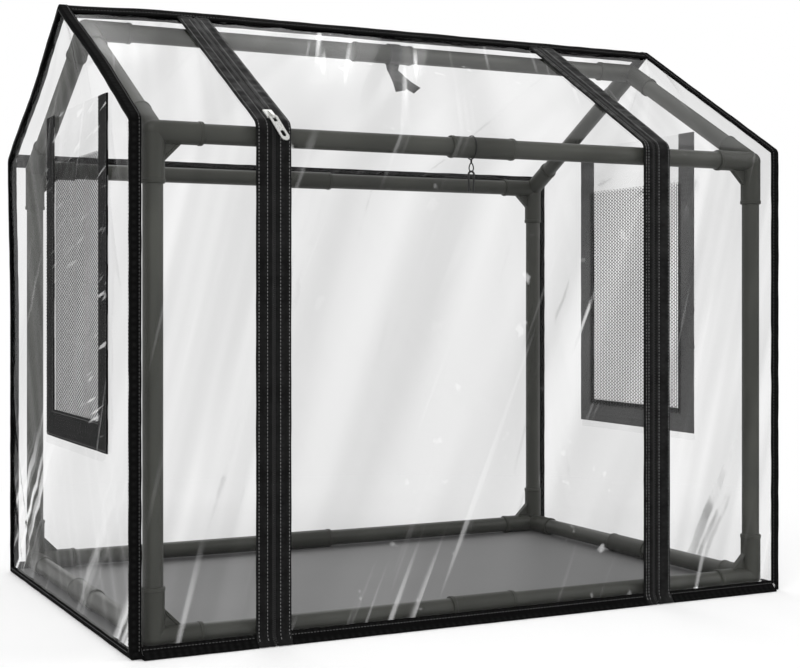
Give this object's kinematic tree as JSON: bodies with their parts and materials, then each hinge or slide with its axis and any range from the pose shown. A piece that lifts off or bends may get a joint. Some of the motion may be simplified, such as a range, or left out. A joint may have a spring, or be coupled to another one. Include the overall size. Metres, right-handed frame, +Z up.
{
  "type": "indoor mini greenhouse",
  "caption": "Indoor mini greenhouse: push-fit pipe frame with gusseted corner fittings inside a sewn clear film cover, with a zipped front and roof door and mesh gable windows with flaps.",
  "frame": {"origin": "centre of the bounding box, on the ground", "axes": "+X to the right along the ridge as seen from the front, -Y out of the front door, +Z up"},
  "size_m": [0.7042, 0.482, 0.6],
  "materials": {
    "coated_pipe": "satin powder coat, dark olive grey",
    "fitting_plastic": "moulded, fine grain",
    "clear_film": "clear flexible film with soft creases",
    "binding_fabric": "woven tape, stitched",
    "zip_fabric": "woven zip tape with coil teeth",
    "strip_fabric": "hook-and-loop pile",
    "floor_film": "grey coated sheet",
    "net_yarn": "knitted insect net",
    "zip_metal": "plated",
    "strap_webbing": "woven webbing",
    "tie_cord": "matt cord"
  },
  "bodies": {
    "greenhouse": {"bottom_rail_front_left": "coated_pipe", "bottom_rail_front_right": "coated_pipe", "bottom_rail_back_left": "coated_pipe", "bottom_rail_back_right": "coated_pipe", "eave_rail_front_left": "coated_pipe", "eave_rail_front_right": "coated_pipe", "eave_rail_back_left": "coated_pipe", "eave_rail_back_right": "coated_pipe", "ridge_rail_left": "coated_pipe", "ridge_rail_right": "coated_pipe", "bottom_rail_left_front": "coated_pipe", "bottom_rail_left_back": "coated_pipe", "bottom_rail_right_front": "coated_pipe", "bottom_rail_right_back": "coated_pipe", "post_front_left": "coated_pipe", "post_front_right": "coated_pipe", "post_back_left": "coated_pipe", "post_back_right": "coated_pipe", "rafter_front_left": "coated_pipe", "rafter_front_right": "coated_pipe", "rafter_back_left": "coated_pipe", "rafter_back_right": "coated_pipe", "bottom_fitting_front_left": "fitting_plastic", "bottom_fitting_front_right": "fitting_plastic", "bottom_fitting_back_left": "fitting_plastic", "bottom_fitting_back_right": "fitting_plastic", "eave_fitting_front_left": "fitting_plastic", "eave_fitting_front_right": "fitting_plastic", "eave_fitting_back_left": "fitting_plastic", "eave_fitting_back_right": "fitting_plastic", "ridge_fitting_left": "fitting_plastic", "ridge_fitting_right": "fitting_plastic", "floor_sheet": "floor_film", "gable_panel_left": "clear_film", "gable_panel_right": "clear_film", "back_panel": "clear_film", "front_panel_left": "clear_film", "front_panel_right": "clear_film", "gable_binding_left": "binding_fabric", "gable_binding_right": "binding_fabric", "ridge_binding": "binding_fabric", "back_eave_binding": "binding_fabric", "back_bottom_binding": "binding_fabric", "zip_tape_fixed_left": "zip_fabric", "zip_tape_fixed_right": "zip_fabric", "window_strips_left": "strip_fabric", "window_strips_right": "strip_fabric", "window_net_left": "net_yarn", "window_net_right": "net_yarn"},
    "door_roof": {"door_roof_panel": "clear_film", "zip_tape_door_roof_left": "zip_fabric", "zip_tape_door_roof_right": "zip_fabric"},
    "door_front": {"door_front_panel": "clear_film", "door_front_edging": "zip_fabric", "zip_slider": "zip_metal"},
    "zip_pull": {"zip_pull": "zip_metal"},
    "window_flap_left": {"window_flap_left": "clear_film"},
    "window_flap_right": {"window_flap_right": "clear_film"},
    "ridge_strap": {"ridge_tie": "strap_webbing"},
    "eave_hook": {"eave_tie": "tie_cord"}
  },
  "joints": [
    {"name": "door_lifts_at_ridge", "type": "hinge", "parent": "greenhouse", "child": "door_roof", "pos_m": [0, -0.00922, 0.59327], "axis": [-1, 0, 0], "range_deg": [0, 110]},
    {"name": "door_folds_at_eave", "type": "hinge", "parent": "door_roof", "child": "door_front", "pos_m": [0, -0.19829, 0.48218], "axis": [-1, 0, 0], "range_deg": [0, 120]},
    {"name": "pull_swings", "type": "hinge", "parent": "door_front", "child": "zip_pull", "pos_m": [-0.2207, -0.22699, 0.46833], "axis": [-0.9538, -0.1579, -0.2558], "range_deg": [0, 130]},
    {"name": "left_flap_lifts", "type": "hinge", "parent": "greenhouse", "child": "window_flap_left", "pos_m": [-0.3522, -0.04426, 0.49041], "axis": [0, 1, 0], "range_deg": [0, 150]},
    {"name": "right_flap_lifts", "type": "hinge", "parent": "greenhouse", "child": "window_flap_right", "pos_m": [0.3522, 0.02974, 0.49683], "axis": [0, -1, 0], "range_deg": [0, 150]},
    {"name": "strap_swings", "type": "hinge", "parent": "greenhouse", "child": "ridge_strap", "pos_m": [0.0128, 0.00574, 0.5735], "axis": [-1, 0, 0], "range_deg": [0, 50]},
    {"name": "hook_swings", "type": "hinge", "parent": "greenhouse", "child": "eave_hook", "pos_m": [-0.0114, -0.21316, 0.4512], "axis": [1, 0, 0], "range_deg": [-15, 60]}
  ]
}
